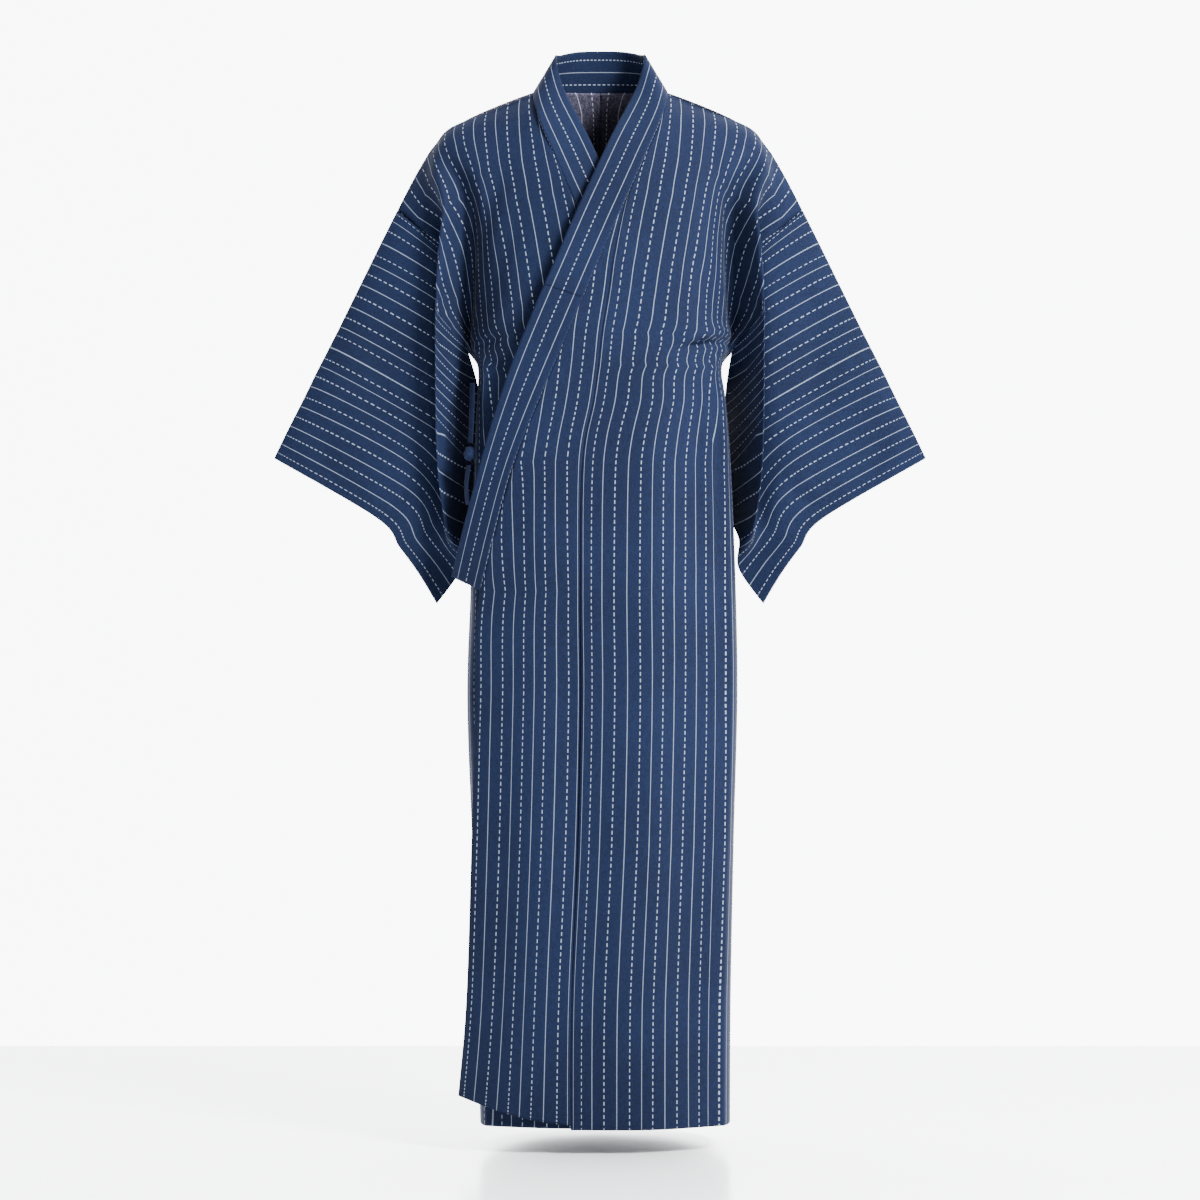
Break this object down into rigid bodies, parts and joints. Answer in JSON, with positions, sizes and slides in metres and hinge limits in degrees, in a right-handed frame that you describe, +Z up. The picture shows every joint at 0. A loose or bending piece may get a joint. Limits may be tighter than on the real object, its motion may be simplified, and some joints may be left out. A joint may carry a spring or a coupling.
{
  "type": "yukata robe",
  "caption": "Full-length wrapped cotton robe with wide hanging sleeves and a crossed band collar, open at neck, cuffs and hem.",
  "frame": {"origin": "middle of the neck hole, level with the neck's sides, where the wearer's neck and shoulders hold the robe", "axes": "+X to the wearer's left, -Y to the front, +Z up along the body"},
  "size_m": [0.8844, 0.2589, 1.4845],
  "materials": {
    "cloth": "matt navy cotton crepe with fine pale solid and dashed stripes",
    "band": "matt navy cotton band, doubled, with the same stripes along it",
    "tie": "matt plain navy cotton tie"
  },
  "bodies": {
    "root": {"front_left": "cloth", "front_right": "cloth", "back_left": "cloth", "back_right": "cloth", "sleeve_left": "cloth", "sleeve_right": "cloth", "overlap_left": "cloth", "overlap_right": "cloth", "collar": "band", "collar_cover": "band", "tie_strap": "tie", "tie_knot": "tie", "tie_end": "tie"}
  },
  "joints": []
}
